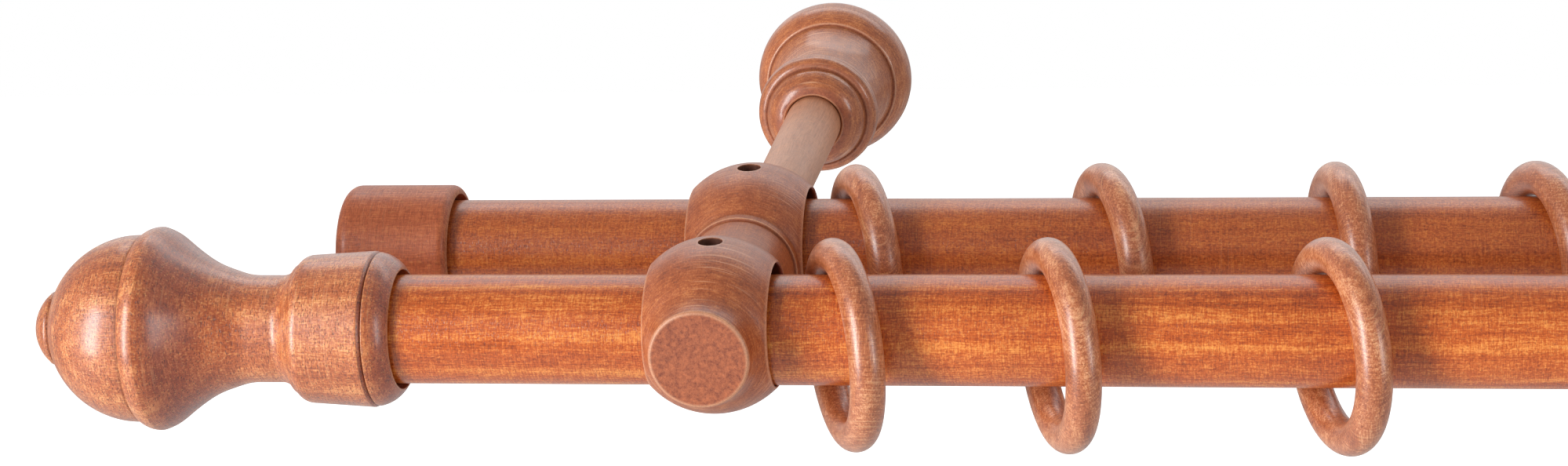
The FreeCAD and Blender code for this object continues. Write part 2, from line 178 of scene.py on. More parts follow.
def beechMaterial(name, look, turn=(0, 0, 0), pith=(0, 9, 14)):
    # the grain is solid: turn swings the piece's own axes so that x runs along the tree, pith shifts it
    material, tree = newMaterial(name)

    def add(kind, inputs=(), **settings):
        return addNode(tree, kind, inputs, **settings)

    def cells(source, size):
        # the place, counted in cells of that size along the grain and across it
        along, across = size
        return add("VectorMath", [(source, "Vector"), (1 / along / mm, 1 / across / mm, 1 / across / mm)],
                   operation="MULTIPLY")

    def clouds(source, size, detail=3.0, rough=0.6):
        return add("TexNoise", {"Vector": (cells(source, size), "Vector"), "Scale": 1.0,
                                "Detail": detail, "Roughness": rough})

    def dashes(source, size, shows):
        # short strokes, one to a cell
        marks = add("TexVoronoi", {"Vector": (cells(source, size), "Vector"), "Scale": 1.0})
        return add("MapRange", {"Value": (marks, "Distance"), "From Min": shows[0], "From Max": shows[1]})

    def tinted(base, mask, amount, code, blend="MIX"):
        # lays a tint over the base where the mask is high
        strength = add("Math", [mask, amount], operation="MULTIPLY", use_clamp=True)
        return add("Mix", {0: (strength, "Value"), 6: base, 7: colour(code)}, data_type="RGBA",
                   blend_type=blend)

    place = add("TexCoord")
    plank = add("Mapping", {
        "Vector": (place, "Object"),
        "Rotation": tuple(math.radians(d) for d in turn),
        "Location": tuple(p * mm for p in pith),
    })
    wear, recess, endGrain, climb = [add("Attribute", attribute_name=word) for word in markWords]

    # the grain wanders a little on its way along
    drift = clouds(plank, beech["drift"], detail=2.0)
    centred = add("VectorMath", [(drift, "Color"), (0.5, 0.5, 0.5)], operation="SUBTRACT")
    swing = beech["wander"] * mm
    wander = add("VectorMath", [(centred, "Vector"), (0, swing, swing)], operation="MULTIPLY")
    grain = add("VectorMath", [(plank, "Vector"), (wander, "Vector")], operation="ADD")

    # growth rings: an uneven wave of the distance from the pith
    flat = add("VectorMath", [(grain, "Vector"), (0, 1, 1)], operation="MULTIPLY")
    radius = add("VectorMath", [(flat, "Vector")], operation="LENGTH")
    years = add("Math", [(radius, "Value"), 1 / (beech["ringSpacing"] * mm)], operation="MULTIPLY")
    growth = add("TexNoise", {"W": (years, "Value"), "Scale": 1.0, "Detail": 2.0}, noise_dimensions="1D")

    streak = clouds(grain, beech["streak"], detail=4.0, rough=0.55)
    fibre = clouds(grain, beech["fibre"], detail=4.0, rough=0.65)
    figure = clouds(grain, beech["figure"], rough=0.65)
    blotch = clouds(plank, beech["blotch"], detail=4.0)
    lathe = clouds(plank, beech["lathe"], rough=0.7)
    mottle = clouds(plank, beech["mottle"], detail=6.0, rough=0.85)

    # tone: how much stain the wood took
    parts = [(streak, look["streakMix"]), (growth, look["ringMix"]), (fibre, look["fibreMix"]),
             (figure, look["figureMix"]), (blotch, look["blotchMix"]), (lathe, look["latheMix"])]
    tone = add("Math", [(parts[0][0], "Fac"), parts[0][1]], operation="MULTIPLY")
    for pattern, share in parts[1:]:
        tone = add("Math", [(pattern, "Fac"), share, (tone, "Value")], operation="MULTIPLY_ADD")
    centre = 0.5 * sum(share for _, share in parts)
    spread = beech["spread"] * math.sqrt(sum(share ** 2 for _, share in parts))
    level = add("MapRange", {"Value": (tone, "Value"), "From Min": centre - spread,
                             "From Max": centre + spread})
    ramp = add("ValToRGB", {"Fac": (level, "Result")})
    ramp.color_ramp.elements[0].color = colour(look["dark"])
    ramp.color_ramp.elements[1].color = colour(look["light"])
    ramp.color_ramp.elements.new(0.5).color = colour(look["mid"])

    tears = dashes(grain, beech["tear"], beech["tearShows"])
    flecks = dashes(grain, beech["fleck"], beech["fleckShows"])
    # slopes that climb away from the mouth are darkened: deeper stain, and painted shade on the faces
    # turned back toward the pole
    shade = tinted((ramp, "Color"), (climb, "Fac"), look["climbStainAndShadeMix"], look["climbStainAndShadeTint"], "MULTIPLY")
    shade = tinted((shade, 2), (tears, "Result"), look["tearMix"], look["tearTint"])

    # pale turning scratches, gathered here and there
    line = clouds(plank, beech["scratch"], detail=0.0)
    thin = add("MapRange", {"Value": (line, "Fac"), "From Min": beech["scratchShows"][0],
                            "From Max": beech["scratchShows"][1]})
    patch = add("MapRange", {"Value": (drift, "Fac"), "From Min": beech["scratchPatch"][0],
                             "From Max": beech["scratchPatch"][1]})
    gathered = add("Math", [(thin, "Result"), (patch, "Result")], operation="MULTIPLY")
    shade = tinted((shade, 2), (gathered, "Value"), look["scratchMix"], look["wearAndSheenTint"])

    # cut across, the grain drinks more stain and shows a pale speckle
    speckle = add("MapRange", {"Value": (mottle, "Fac"), "From Min": beech["speckleShows"][0],
                               "From Max": beech["speckleShows"][1]})
    cut = add("Mix", {0: (speckle, "Result"), 6: colour(look["cutTones"][0]),
                      7: colour(look["cutTones"][1])}, data_type="RGBA")
    shade = add("Mix", {0: (endGrain, "Fac"), 6: (shade, 2), 7: (cut, 2)}, data_type="RGBA")
    shade = tinted((shade, 2), (flecks, "Result"), look["fleckMix"], look["fleckTint"])

    # proud edges are rubbed pale where the fibres stand up, and the spindle's arm is painted pale as a
    # painted reflection of the bright background
    wornAndSheen = add("Math", [(wear, "Fac"), (fibre, "Fac")], operation="MULTIPLY")
    shade = tinted((shade, 2), (wornAndSheen, "Value"), look["wearAndSheenMix"], look["wearAndSheenTint"])
    # hollows hold the stain, and hollows, bores and screw holes are painted darker here as painted shade
    shade = tinted((shade, 2), (recess, "Fac"), look["recessMix"], look["recessTint"])

    rough = add("MapRange", {
        "Value": (blotch, "Fac"), "From Min": beech["blotchShows"][0], "From Max": beech["blotchShows"][1],
        "To Min": look["rough"] - beech["glossier"], "To Max": look["rough"] + beech["duller"]})
    dull = add("Math", [(endGrain, "Fac"), beech["cutDull"], (rough, "Result")], operation="MULTIPLY_ADD")
    dull = add("Math", [(recess, "Fac"), beech["hollowDull"], (dull, "Value")], operation="MULTIPLY_ADD")
    height = add("Math", [(fibre, "Fac"), beech["fibreRise"]], operation="MULTIPLY")
    for pattern, rise in (((figure, "Fac"), "figureRise"), ((tears, "Result"), "tearRise"),
                          ((lathe, "Fac"), "latheRise")):
        height = add("Math", [pattern, beech[rise], (height, "Value")], operation="MULTIPLY_ADD")
    bump = add("Bump", {"Height": (height, "Value"), "Strength": look["bump"],
                        "Distance": beech["relief"] * mm})
    lacquer = add("Math", [(recess, "Fac"), -look["coat"], look["coat"]], operation="MULTIPLY_ADD")
    shader = add("BsdfPrincipled", {
        "Base Color": (shade, 2), "Roughness": (dull, "Value"), "IOR": beech["ior"],
        "Coat Weight": (lacquer, "Value"), "Coat Roughness": look["coatRough"], "Normal": (bump, "Normal")})
    add("OutputMaterial", {"Surface": (shader, "BSDF")})
    return material


# A turned piece is a profile of (along, radius) stations carried round its axis. These are the steps
# that a curved stretch of it is worked out in.
curveSteps = {"bowed": 25, "through": 12, "bulge": 60}


def straight(a0, r0, a1, r1):
    # the two ends of a line
    return np.array([(a0, r0), (a1, r1)], float)


def bowed(a0, r0, a1, r1, bow):
    # an arc that stands off its chord by bow at the middle, outward when positive
    chord = math.hypot(a1 - a0, r1 - r0)
    ux, uy = (a1 - a0) / chord, (r1 - r0) / chord
    radius = (chord * chord / 4 + bow * bow) / (2 * abs(bow))
    half = math.asin(min(1.0, chord / (2 * radius)))
    t = np.linspace(-half, half, curveSteps["bowed"])
    along = radius * np.sin(t) + chord / 2
    off = math.copysign(1, bow) * (radius * np.cos(t) - radius + abs(bow))
    return np.stack([a0 + along * ux - off * uy, r0 + along * uy + off * ux], -1)


def through(stations):
    # a natural cubic spline through the stations, run by chord length
    p = np.array(stations, float)
    t = np.r_[0, np.cumsum(np.hypot(*np.diff(p, axis=0).T))]
    h = np.diff(t)
    n = len(p)
    system, pull = np.eye(n), np.zeros((n, 2))
    for i in range(1, n - 1):
        system[i, i - 1:i + 2] = h[i - 1], 2 * (h[i - 1] + h[i]), h[i]
        pull[i] = 6 * ((p[i + 1] - p[i]) / h[i] - (p[i] - p[i - 1]) / h[i - 1])
    m = np.linalg.solve(system, pull)
    s = np.linspace(0, t[-1], curveSteps["through"] * n)
    k = np.clip(np.searchsorted(t, s) - 1, 0, n - 2)
    a, b, w = (t[k + 1] - s)[:, None], (s - t[k])[:, None], h[k][:, None]
    return ((m[k] * a ** 3 + m[k + 1] * b ** 3) / (6 * w)
            + (p[k] / w - m[k] * w / 6) * a + (p[k + 1] / w - m[k + 1] * w / 6) * b)


easing = {
    "step": 0.05, "ease": 0.16, "bellReach": 4, "coarse": 0.55, "fine": 0.16, "tightBend": 1.2,
    "hollowSpread": 0.4, "hollowSpreadSteps": 40,
    # each mark starts at the first value and is full once the second is added to it
    "proud": (0.25, 1.2), "hollow": (0.35, 1.5), "face": (0.8, 0.15), "climb": (0.1, 0.5),
}
markWords = ("wear", "recess", "endGrain", "climb")


def rising(values, word):
    # nothing where a mark starts, one where it is full, straight between
    start, width = easing[word]
    return np.clip((values - start) / width, 0, 1)


def easedProfile(pieces, closed=False):
    # walks the outline at even steps, averages it with a bell curve to ease its corners, and gives
    # stations that crowd where it bends. Each has its marks: a proud edge, a hollow that holds the stain
    # and takes painted shade, a face across the grain, and a slope that climbs, where the tool tears the
    # fibres and the stain bites deeper, and which also takes painted shade as it faces back to the pole
    p = np.concatenate(pieces)
    p = p[np.r_[True, np.hypot(*np.diff(p, axis=0).T) > 1e-6]]
    if closed:
        p = np.concatenate([p, p[:1]])
    t = np.r_[0, np.cumsum(np.hypot(*np.diff(p, axis=0).T))]
    s = np.linspace(0, t[-1], int(t[-1] / easing["step"]))
    q = np.stack([np.interp(s, t, p[:, 0]), np.interp(s, t, p[:, 1])], -1)
    reach = int(easing["bellReach"] * easing["ease"] / easing["step"])
    bell = np.exp(-0.5 * (np.arange(-reach, reach + 1) * easing["step"] / easing["ease"]) ** 2)
    bell /= bell.sum()
    if closed:
        padded = np.concatenate([q[-reach - 1:-1], q, q[1:reach + 1]])
    else:
        flip = np.array([1.0, -1.0])
        padded = np.concatenate([q[reach:0:-1] * flip, q, q[-2:-reach - 2:-1] * flip])
    q = np.stack([np.convolve(padded[:, i], bell, "valid") for i in (0, 1)], -1)
    if not closed:
        q[[0, -1], 1] = 0.0
    d1 = np.gradient(q, axis=0)
    speed = np.hypot(*d1.T) + 1e-9
    heading = np.unwrap(np.arctan2(d1[:, 1], d1[:, 0]))
    bend = -np.gradient(heading) / speed
    tight = np.clip(abs(bend) / easing["tightBend"], 0, 1)
    density = 1 / easing["coarse"] + (1 / easing["fine"] - 1 / easing["coarse"]) * tight
    count = np.r_[0, np.cumsum(density[1:] * speed[1:])]
    want = np.linspace(0, count[-1], int(count[-1]) + 2)
    if closed:
        want = want[:-1]
    slope = d1[:, 1] / speed
    reach = easing["hollowSpreadSteps"]
    hollowSpread = np.exp(-0.5 * (np.arange(-reach, reach + 1) * easing["step"] / easing["hollowSpread"]) ** 2)
    hollow = np.convolve(rising(-bend, "hollow"), hollowSpread, "same") * easing["step"] / easing["hollowSpread"]
    marks = (rising(bend, "proud"), np.clip(hollow, 0, 1), rising(abs(slope), "face"),
             rising(slope, "climb"))
    lines = zip(("a", "r", *markWords), (q[:, 0], q[:, 1], *marks))
    return {word: np.interp(want, count, line) for word, line in lines}


def meshObject(name, vertices, faces, marks=None, material=None, sharp=None):
    # puts whole arrays of vertices (millimetres) and faces into a mesh, with its marks as attributes
    mesh = bpy.data.meshes.new(name)
    mesh.from_pydata((vertices * mm).tolist(), [], faces)
    for word, values in (marks or {}).items():
        mesh.attributes.new(word, "FLOAT", "POINT").data.foreach_set("value", values.astype(np.float32))
    mesh.polygons.foreach_set("use_smooth", np.ones(len(mesh.polygons), bool))
    if sharp:
        mesh.set_sharp_from_angle(angle=math.radians(sharp))
    if material:
        mesh.materials.append(material)
    mesh.update()
    piece = bpy.data.objects.new(name, mesh)
    bpy.context.collection.objects.link(piece)
    return piece


def gridFaces(rows, columns, wrapRows=False, firstPole=False, lastPole=False):
    # quads between neighbouring rows and columns, with the columns closed on themselves; a pole's row
    # is one vertex, so its quads are triangles
    index = np.arange(rows * columns).reshape(rows, columns)
    if firstPole:
        index[0] = index[0, 0]
    if lastPole:
        index[-1] = index[-1, 0]
    if wrapRows:
        index = np.vstack([index, index[:1]])
    index = np.hstack([index, index[:, :1]])
    return np.stack([index[:-1, :-1], index[:-1, 1:], index[1:, 1:], index[1:, :-1]], -1).reshape(-1, 4)


def turnedPiece(name, profile, turns, axis, origin, material, closed=False):
    # each station becomes a circle: origin + along * axis + radius * (cos t * side + sin t * top)
    axis = np.array(axis, float)
    side = np.array((1.0, 0.0, 0.0) if abs(axis[2]) > 0.5 else (0.0, 0.0, 1.0))
    top = np.cross(axis, side)
    a, r = profile["a"], profile["r"]
    t = np.linspace(0, 2 * math.pi, turns, endpoint=False)
    around = np.cos(t)[:, None] * side + np.sin(t)[:, None] * top
    points = np.array(origin, float) + a[:, None, None] * axis + r[:, None, None] * around
    first, last = r[0] < 1e-6, r[-1] < 1e-6
    used, compact = np.unique(gridFaces(len(a), turns, closed, first, last), return_inverse=True)
    quads = compact.reshape(-1, 4)
    vertices = points.reshape(-1, 3)[used]
    marks = {word: np.repeat(profile[word], turns)[used] for word in markWords}
    # the faces point outward when the volume they enclose is positive
    c0, c1, c2, c3 = [vertices[quads[:, i]] for i in range(4)]
    volume = (np.einsum("ij,ij->i", c0, np.cross(c1, c2)).sum()
              + np.einsum("ij,ij->i", c0, np.cross(c2, c3)).sum())
    if volume < 0:
        quads = quads[:, ::-1]
    faces = [list(dict.fromkeys(q)) for q in quads.tolist()]
    return meshObject(name, vertices, faces, marks, material)


# A finial, from the mouth of the socket to the tip: lip, groove, collar, step, neck, flare, bead, ball
# and button.
finial = {
    "turns": 240, "socket": 26.5, "slip": 0.08, "mouthDia": 30.6, "mouthDepth": 4.0,
    "lipLength": 6.0, "lipDrop": 4.5, "lipEdge": 0.3, "lipBow": 0.8,
    "grooveDepth": 1.1, "grooveWidth": 1.1,
    "collarDia": 40.2, "collarTaper": 1.0, "collarLength": 16.4,
    "stepDia": 34.6, "stepLength": 7.9, "stepShare": 0.37, "bevelShare": 0.5, "stepBow": 0.4,
    "stepBevel": 0.7, "coveBow": 0.6, "neckDia": 27.7, "neckLength": 7.1,
    "flareLength": 25.6, "ridgeDia": 52.8, "beadWidth": 4.4, "beadEdge": 0.4, "beadBow": 0.5,
    "ballDia": 48.7, "ballLength": 23.8,
    "buttonDia": 19.4, "buttonRing": 1.6, "buttonEdge": 0.2, "buttonLength": 6.1,
    "flare": [(0, 0), (0.09, 0.02), (0.23, 0.10), (0.42, 0.245), (0.61, 0.475), (0.77, 0.72),
              (0.91, 0.925), (1, 1)],
    "ball": [(0, 0.998), (0.2, 0.991), (0.4, 0.944), (0.6, 0.851), (0.75, 0.741), (0.87, 0.615),
             (0.95, 0.499), (1, 0.402)],
    "dome": [(0, 0.96), (0.2, 0.887), (0.45, 0.756), (0.7, 0.572), (0.88, 0.368), (1, 0)],
}


def finialOutline():
    # from the socket's bottom out through the mouth, then along the outside to the tip
    f = finial
    socketR, mouthR, collarR = poleRadius + f["slip"], f["mouthDia"] / 2, f["collarDia"] / 2
    lipR, grooveR = collarR - f["lipDrop"], collarR - f["grooveDepth"]
    shoulderR = collarR - f["collarTaper"]
    stepR, neckR, ridgeR, ballR = [f[key] / 2 for key in ("stepDia", "neckDia", "ridgeDia", "ballDia")]
    buttonR = f["buttonDia"] / 2
    coveR, ringR = stepR - f["stepBevel"], buttonR - f["buttonEdge"]
    lipEnd = f["lipLength"]
    grooveEnd = lipEnd + f["grooveWidth"]
    collarEnd = grooveEnd + f["collarLength"]
    stepAt = collarEnd + f["stepShare"] * f["stepLength"]
    coveAt = collarEnd + f["bevelShare"] * f["stepLength"]
    stepEnd = collarEnd + f["stepLength"]
    neckEnd = stepEnd + f["neckLength"]
    ridgeAt = neckEnd + f["flareLength"]
    beadEnd = ridgeAt + f["beadWidth"]
    ballEnd = beadEnd + f["ballLength"]
    buttonAt = ballEnd + f["buttonRing"]
    tip = ballEnd + f["buttonLength"]
    return [
        straight(f["socket"], 0, f["socket"], socketR),
        straight(f["socket"], socketR, f["mouthDepth"], socketR),
        straight(f["mouthDepth"], socketR, f["mouthDepth"], mouthR),
        straight(f["mouthDepth"], mouthR, 0, mouthR),
        straight(0, mouthR, 0, lipR),
        bowed(0, lipR, lipEnd, collarR - f["lipEdge"], f["lipBow"]),
        straight(lipEnd, collarR - f["lipEdge"], lipEnd, grooveR),
        straight(lipEnd, grooveR, grooveEnd, collarR),
        straight(grooveEnd, collarR, collarEnd, shoulderR),
        bowed(collarEnd, shoulderR, stepAt, stepR, f["stepBow"]),
        straight(stepAt, stepR, coveAt, coveR),
        bowed(coveAt, coveR, stepEnd, neckR, -f["coveBow"]),
        straight(stepEnd, neckR, neckEnd, neckR),
        through([(neckEnd + t * f["flareLength"], neckR + h * (ridgeR - neckR)) for t, h in f["flare"]]),
        bowed(ridgeAt, ridgeR, beadEnd, ballR + f["beadEdge"], f["beadBow"]),
        straight(beadEnd, ballR + f["beadEdge"], beadEnd, f["ball"][0][1] * ballR),
        through([(beadEnd + t * f["ballLength"], h * ballR) for t, h in f["ball"]]),
        straight(ballEnd, f["ball"][-1][1] * ballR, ballEnd, ringR),
        bowed(ballEnd, ringR, buttonAt, ringR, f["buttonEdge"]),
        straight(buttonAt, ringR, buttonAt, f["dome"][0][1] * buttonR),
        through([(buttonAt + t * (tip - buttonAt), h * buttonR) for t, h in f["dome"]]),
    ]


finialBeech = beechMaterial("beech turned and lacquered, finial", finialLook)
finialProfile = easedProfile(finialOutline())
for side, sign, end in (("left", -1, 1), ("right", 1, 0)):
    node = side + "_finial"
    piece = turnedPiece(side + "FinialWood", finialProfile, finial["turns"], (sign, 0, 0),
                        (corner(node, end)[0], *frontAxis[1:]), finialBeech)
    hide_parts(node)
    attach(piece, node)
print("stage 3: finials turned")


# the plain end caps of the rear pole
cap = {
    "turns": 220, "dia": 36.3, "length": 31.2, "socket": 27.0, "slip": 0.08, "round": 3.8,
    "mouthRound": 2.4, "mouthDia": 31.4, "mouthDepth": 3.5,
}


def capOutline():
    # from the socket's bottom out through the mouth, then along the outside to the rounded back
    outR, mouthR, socketR = cap["dia"] / 2, cap["mouthDia"] / 2, poleRadius + cap["slip"]
    quarter = 1 - math.cos(math.pi / 4)
    backAt, backR = cap["length"] - cap["round"], outR - cap["round"]
    return [
        straight(cap["socket"], 0, cap["socket"], socketR),
        straight(cap["socket"], socketR, cap["mouthDepth"], socketR),
        straight(cap["mouthDepth"], socketR, cap["mouthDepth"], mouthR),
        straight(cap["mouthDepth"], mouthR, 0, mouthR),
        straight(0, mouthR, 0, outR - cap["mouthRound"]),
        bowed(0, outR - cap["mouthRound"], cap["mouthRound"], outR, quarter * cap["mouthRound"]),
        straight(cap["mouthRound"], outR, backAt, outR),
        bowed(backAt, outR, cap["length"], backR, quarter * cap["round"]),
        straight(cap["length"], backR, cap["length"], 0),
    ]


capBeech = beechMaterial("beech turned and lacquered, end cap", capLook, pith=(0, 22, 9))
capProfile = easedProfile(capOutline())
for side, sign, end in (("left", -1, 1), ("right", 1, 0)):
    node = side + "_cap"
    piece = turnedPiece(side + "CapWood", capProfile, cap["turns"], (sign, 0, 0),
                        (corner(node, end)[0], *rearAxis[1:]), capBeech)
    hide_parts(node)
    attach(piece, node)
print("stage 4: end caps turned")


# A wall rosette, from the mouth round the arm back to the wall: roll, bead, bell, groove and rim.
rosette = {
    "turns": 280, "studHole": 8.1, "armDia": 16.6, "tenon": 14.0, "slip": 0.08, "mouth": 0.5,
    "rollDia": 29.7, "rollLength": 6.8, "rollBow": 1.5,
    "beadDia": 35.8, "beadLip": 0.8, "beadWidth": 8.0, "beadPeak": 0.4, "beadFrontBow": 0.7,
    "beadBackBow": 1.3, "waistDia": 30.0, "bellLength": 24.2, "bellBow": 1.6,
    "grooveDia": 38.4, "grooveStep": 0.8, "dia": 47.4, "rimWidth": 14.4, "rimPeak": 0.55,
    "rimFrontBow": 1.0, "rimBackBow": 0.7, "backDia": 44.0,
}


def rosetteOutline():
    # round the section once: socket, mouth, outside and the flat back to the stud's hole
    r = rosette
    holeR, socketR = r["studHole"] / 2, r["armDia"] / 2 + r["slip"]
    rollR, beadR, waistR, grooveR = [r[key] / 2 for key in ("rollDia", "beadDia", "waistDia", "grooveDia")]
    rollAt = r["rollLength"]
    beadTop = rollAt + r["beadPeak"] * r["beadWidth"]
    beadAt = rollAt + r["beadWidth"]
    bellAt = beadAt + r["bellLength"]
    rimTop = bellAt + r["rimPeak"] * r["rimWidth"]
    depth = bellAt + r["rimWidth"]
    return [
        straight(r["tenon"], holeR, r["tenon"], socketR),
        straight(r["tenon"], socketR, r["mouth"], socketR),
        straight(r["mouth"], socketR, 0, socketR + r["mouth"]),
        bowed(0, socketR + r["mouth"], rollAt, rollR, r["rollBow"]),
        straight(rollAt, rollR, rollAt, rollR + r["beadLip"]),
        bowed(rollAt, rollR + r["beadLip"], beadTop, beadR, r["beadFrontBow"]),
        bowed(beadTop, beadR, beadAt, waistR, r["beadBackBow"]),
        bowed(beadAt, waistR, bellAt, grooveR, -r["bellBow"]),
        straight(bellAt, grooveR, bellAt, grooveR + r["grooveStep"]),
        bowed(bellAt, grooveR + r["grooveStep"], rimTop, r["dia"] / 2, r["rimFrontBow"]),
        bowed(rimTop, r["dia"] / 2, depth, r["backDia"] / 2, r["rimBackBow"]),
        straight(depth, r["backDia"] / 2, depth, holeR),
    ]


spindleTurn = (0, 0, -90)  # the grain of rosettes and spindles runs out from the wall
rosetteBeech = beechMaterial("beech turned and lacquered, rosette", rosetteLook, spindleTurn, (0, 8, 14))
rosetteProfile = easedProfile(rosetteOutline(), closed=True)
for side in ("left", "right"):
    node = side + "_rosette"
    centre = middle(node)
    piece = turnedPiece(side + "RosetteWood", rosetteProfile, rosette["turns"], (0, 1, 0),
                        (centre[0], corner(node, 0)[1], centre[2]), rosetteBeech, closed=True)
    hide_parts(node)
    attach(piece, "wall_frame")
print("stage 5: rosettes turned")


# A bracket spindle is one turning: nose, front bulge, neck, rear bulge with its shoulder, waist
# and arm. The cheeks of both bulges are planed flat, and a bore for each pole and a counterbored
# screw hole cross them.
bracket = {
    "turns": 192, "bulgeDia": 44.7, "bulgeArc": 26.0, "boreDia": 31.2, "boreEase": 0.25,
    "noseFaceDia": 24.0, "noseDia": 25.6, "noseEdge": 1.0, "noseRing": 1.0,
    "coveDia": 30.4, "edgeBow": 0.25, "coveBow": 0.3, "neckDia": 28.4,
    "shoulderDia": 30.0, "shoulderReach": 20.7, "waistDia": 21.0, "waistCove": 3.2, "waistBow": 0.5,
    "armStartDia": 15.4, "armEndDia": rosette["armDia"], "studHole": 7.7, "studIn": 30.0,
    "lockWeb": 2.6, "counterboreDia": 6.3, "screwHoleDia": 3.4,
    # how far the cutters stand clear, and how finely they are turned
    "boxClear": 5.0, "boxHalf": 40.0, "boreClear": 4.0, "boreTurns": 160, "holeTurns": 64,
    "boreShade": 1.0, "crownDrop": 0.6, "sharpAngle": 28,
    # how pale the arm (a painted reflection) and the rubbed cut places are, and how dark the hollows (stain
    # and painted shade)
    "armSheen": 0.7, "cutWear": 0.8, "rimWear": 0.5, "hollowStainAndShade": 0.3,
    # widths of those places, and how far off the turned surface a vertex is on a cut
    "cutWearWidth": 0.5, "rimWidth": 0.35, "boreLip": 0.4, "boreReach": 0.15, "holeReach": 0.1,
    "offTurning": 0.25, "offRim": 0.3, "offCheek": 0.6,
}


def bulgeReach(radius):
    # how far from the bulge's middle its surface comes down to that radius
    drop = bracket["bulgeDia"] / 2 - radius
    return math.sqrt(bracket["bulgeArc"] ** 2 - (bracket["bulgeArc"] - drop) ** 2)


def bulgeSide(centre, a0, a1):
    # the bulge's arc: radius = bulge radius - arc radius + root(arc radius squared - distance squared)
    arc = bracket["bulgeArc"]
    a = np.linspace(a0, a1, curveSteps["bulge"])
    r = bracket["bulgeDia"] / 2 - arc + np.sqrt(arc ** 2 - (a - centre) ** 2)
    return np.stack([a, r], -1)


def bracketOutline(frontAt, rearAt, spindleEnd):
    # from the nose's middle along the outside to the tenon's end, and back down the stud's hole
    b = bracket
    faceR, noseR, coveR, neckR, shoulderR = [
        b[key] / 2 for key in ("noseFaceDia", "noseDia", "coveDia", "neckDia", "shoulderDia")]
    waistR, startR, endR, holeR = [
        b[key] / 2 for key in ("waistDia", "armStartDia", "armEndDia", "studHole")]
    noseEnd = b["noseEdge"] + b["noseRing"]
    coveAt = frontAt - bulgeReach(coveR)
    neckAt = frontAt + bulgeReach(neckR)
    shoulderAt = rearAt - b["shoulderReach"]
    shoulderEnd = rearAt - bulgeReach(shoulderR)
    waistAt = rearAt + bulgeReach(waistR)
    armAt = waistAt + b["waistCove"]
    holeEnd = spindleEnd - b["studIn"]
    return [
        straight(0, 0, 0, faceR),
        bowed(0, faceR, b["noseEdge"], noseR, b["edgeBow"]),
        straight(b["noseEdge"], noseR, noseEnd, noseR),
        bowed(noseEnd, noseR, coveAt, coveR, -b["coveBow"]),
        bulgeSide(frontAt, coveAt, neckAt),
        straight(neckAt, neckR, shoulderAt, neckR),
        straight(shoulderAt, neckR, shoulderAt, shoulderR),
        straight(shoulderAt, shoulderR, shoulderEnd, shoulderR),
        bulgeSide(rearAt, shoulderEnd, waistAt),
        bowed(waistAt, waistR, armAt, startR, -b["waistBow"]),
        straight(armAt, startR, spindleEnd, endR),
        straight(spindleEnd, endR, spindleEnd, holeR),
        straight(spindleEnd, holeR, holeEnd, holeR),
        straight(holeEnd, holeR, holeEnd, 0),
    ]


def boxCutter(low, high):
    # the eight corners of a box and its six faces
    grid = np.array([[x, y, z] for x in (low[0], high[0]) for y in (low[1], high[1])
                     for z in (low[2], high[2])])
    faces = [[0, 1, 3, 2], [4, 6, 7, 5], [0, 4, 5, 1], [2, 3, 7, 6], [0, 2, 6, 4], [1, 5, 7, 3]]
    return meshObject("cutter", grid, faces)


def plainCutter(stations, turns, axis, origin):
    # a turned piece with no marks, to cut with
    a, r = np.array(stations, float).T
    unmarked = dict.fromkeys(markWords, np.zeros(len(a)))
    return turnedPiece("cutter", {"a": a, "r": r, **unmarked}, turns, axis, origin, None)


def carve(body, cutters):
    # keeps what each cutter shares with the body, or takes it away, and leaves one plain mesh
    for cutter, kind in cutters:
        step = body.modifiers.new("cut", "BOOLEAN")
        step.operation, step.object, step.solver = kind, cutter, "EXACT"
    carved = bpy.data.meshes.new_from_object(body.evaluated_get(bpy.context.evaluated_depsgraph_get()))
    body.modifiers.clear()
    body.data = carved
    for cutter, _ in cutters:
        bpy.data.objects.remove(cutter)


def spindleMarks(mesh, profile, axisX, noseY, axisZ, boreYs, halfWidth, boreR):
    # each vertex takes the marks of the nearest station of the profile; a vertex off the turned
    # surface is on a cut. The arm is painted pale, a painted reflection of the bright background, edges
    # left by a cut are rubbed pale, and the bores and screw holes are painted dark inside as painted shade
    b = bracket
    v = np.empty(3 * len(mesh.vertices), np.float32)
    mesh.vertices.foreach_get("co", v)
    x, y, z = v.reshape(-1, 3).T / mm
    x, y, z = x - axisX, y - noseY, z - axisZ
    r = np.hypot(x, z)
    far = (y[:, None] - profile["a"]) ** 2 + (r[:, None] - profile["r"]) ** 2
    near = far.argmin(1)
    offTurned = np.sqrt(far.min(1))
    marks = {word: profile[word][near].copy() for word in markWords}
    # the spindle's turned hollows take less of the darkening, stain and painted shade alike
    marks["recess"] *= b["hollowStainAndShade"]
    # the arm is painted pale: a painted reflection of the bright background along it
    arm = (r < b["waistDia"] / 2) & (y > boreYs[-1])
    marks["wear"][arm] = np.maximum(marks["wear"][arm], b["armSheen"])
    for values in marks.values():
        values[offTurned > b["offTurning"]] = 0.0
    cheek = np.clip(1 - (halfWidth - abs(x)) / b["cutWearWidth"], 0, 1)
    marks["wear"] = np.maximum(marks["wear"], b["cutWear"] * cheek * (offTurned < b["offCheek"]))
    holeR = b["counterboreDia"] / 2
    # bores and screw holes are painted dark inside as painted shade
    for boreY in boreYs:
        toBore = np.hypot(y - boreY, z)
        inBore = (abs(toBore - boreR) < b["boreReach"]) & (abs(x) < halfWidth - b["boreLip"])
        marks["recess"][inBore] = 1.0
        toHole = np.hypot(x, y - boreY)
        rim = (z > 0) & (offTurned < b["offRim"]) & (toHole < holeR + b["rimWidth"])
        marks["wear"][rim] = b["rimWear"]
        inHole = (z > 0) & (offTurned > b["offRim"]) & (toHole < holeR + b["holeReach"])
        marks["recess"][inHole] = 1.0
    return marks


bracketBeech = beechMaterial("beech turned and lacquered, spindle", bracketLook, spindleTurn, (0, 7, 3))


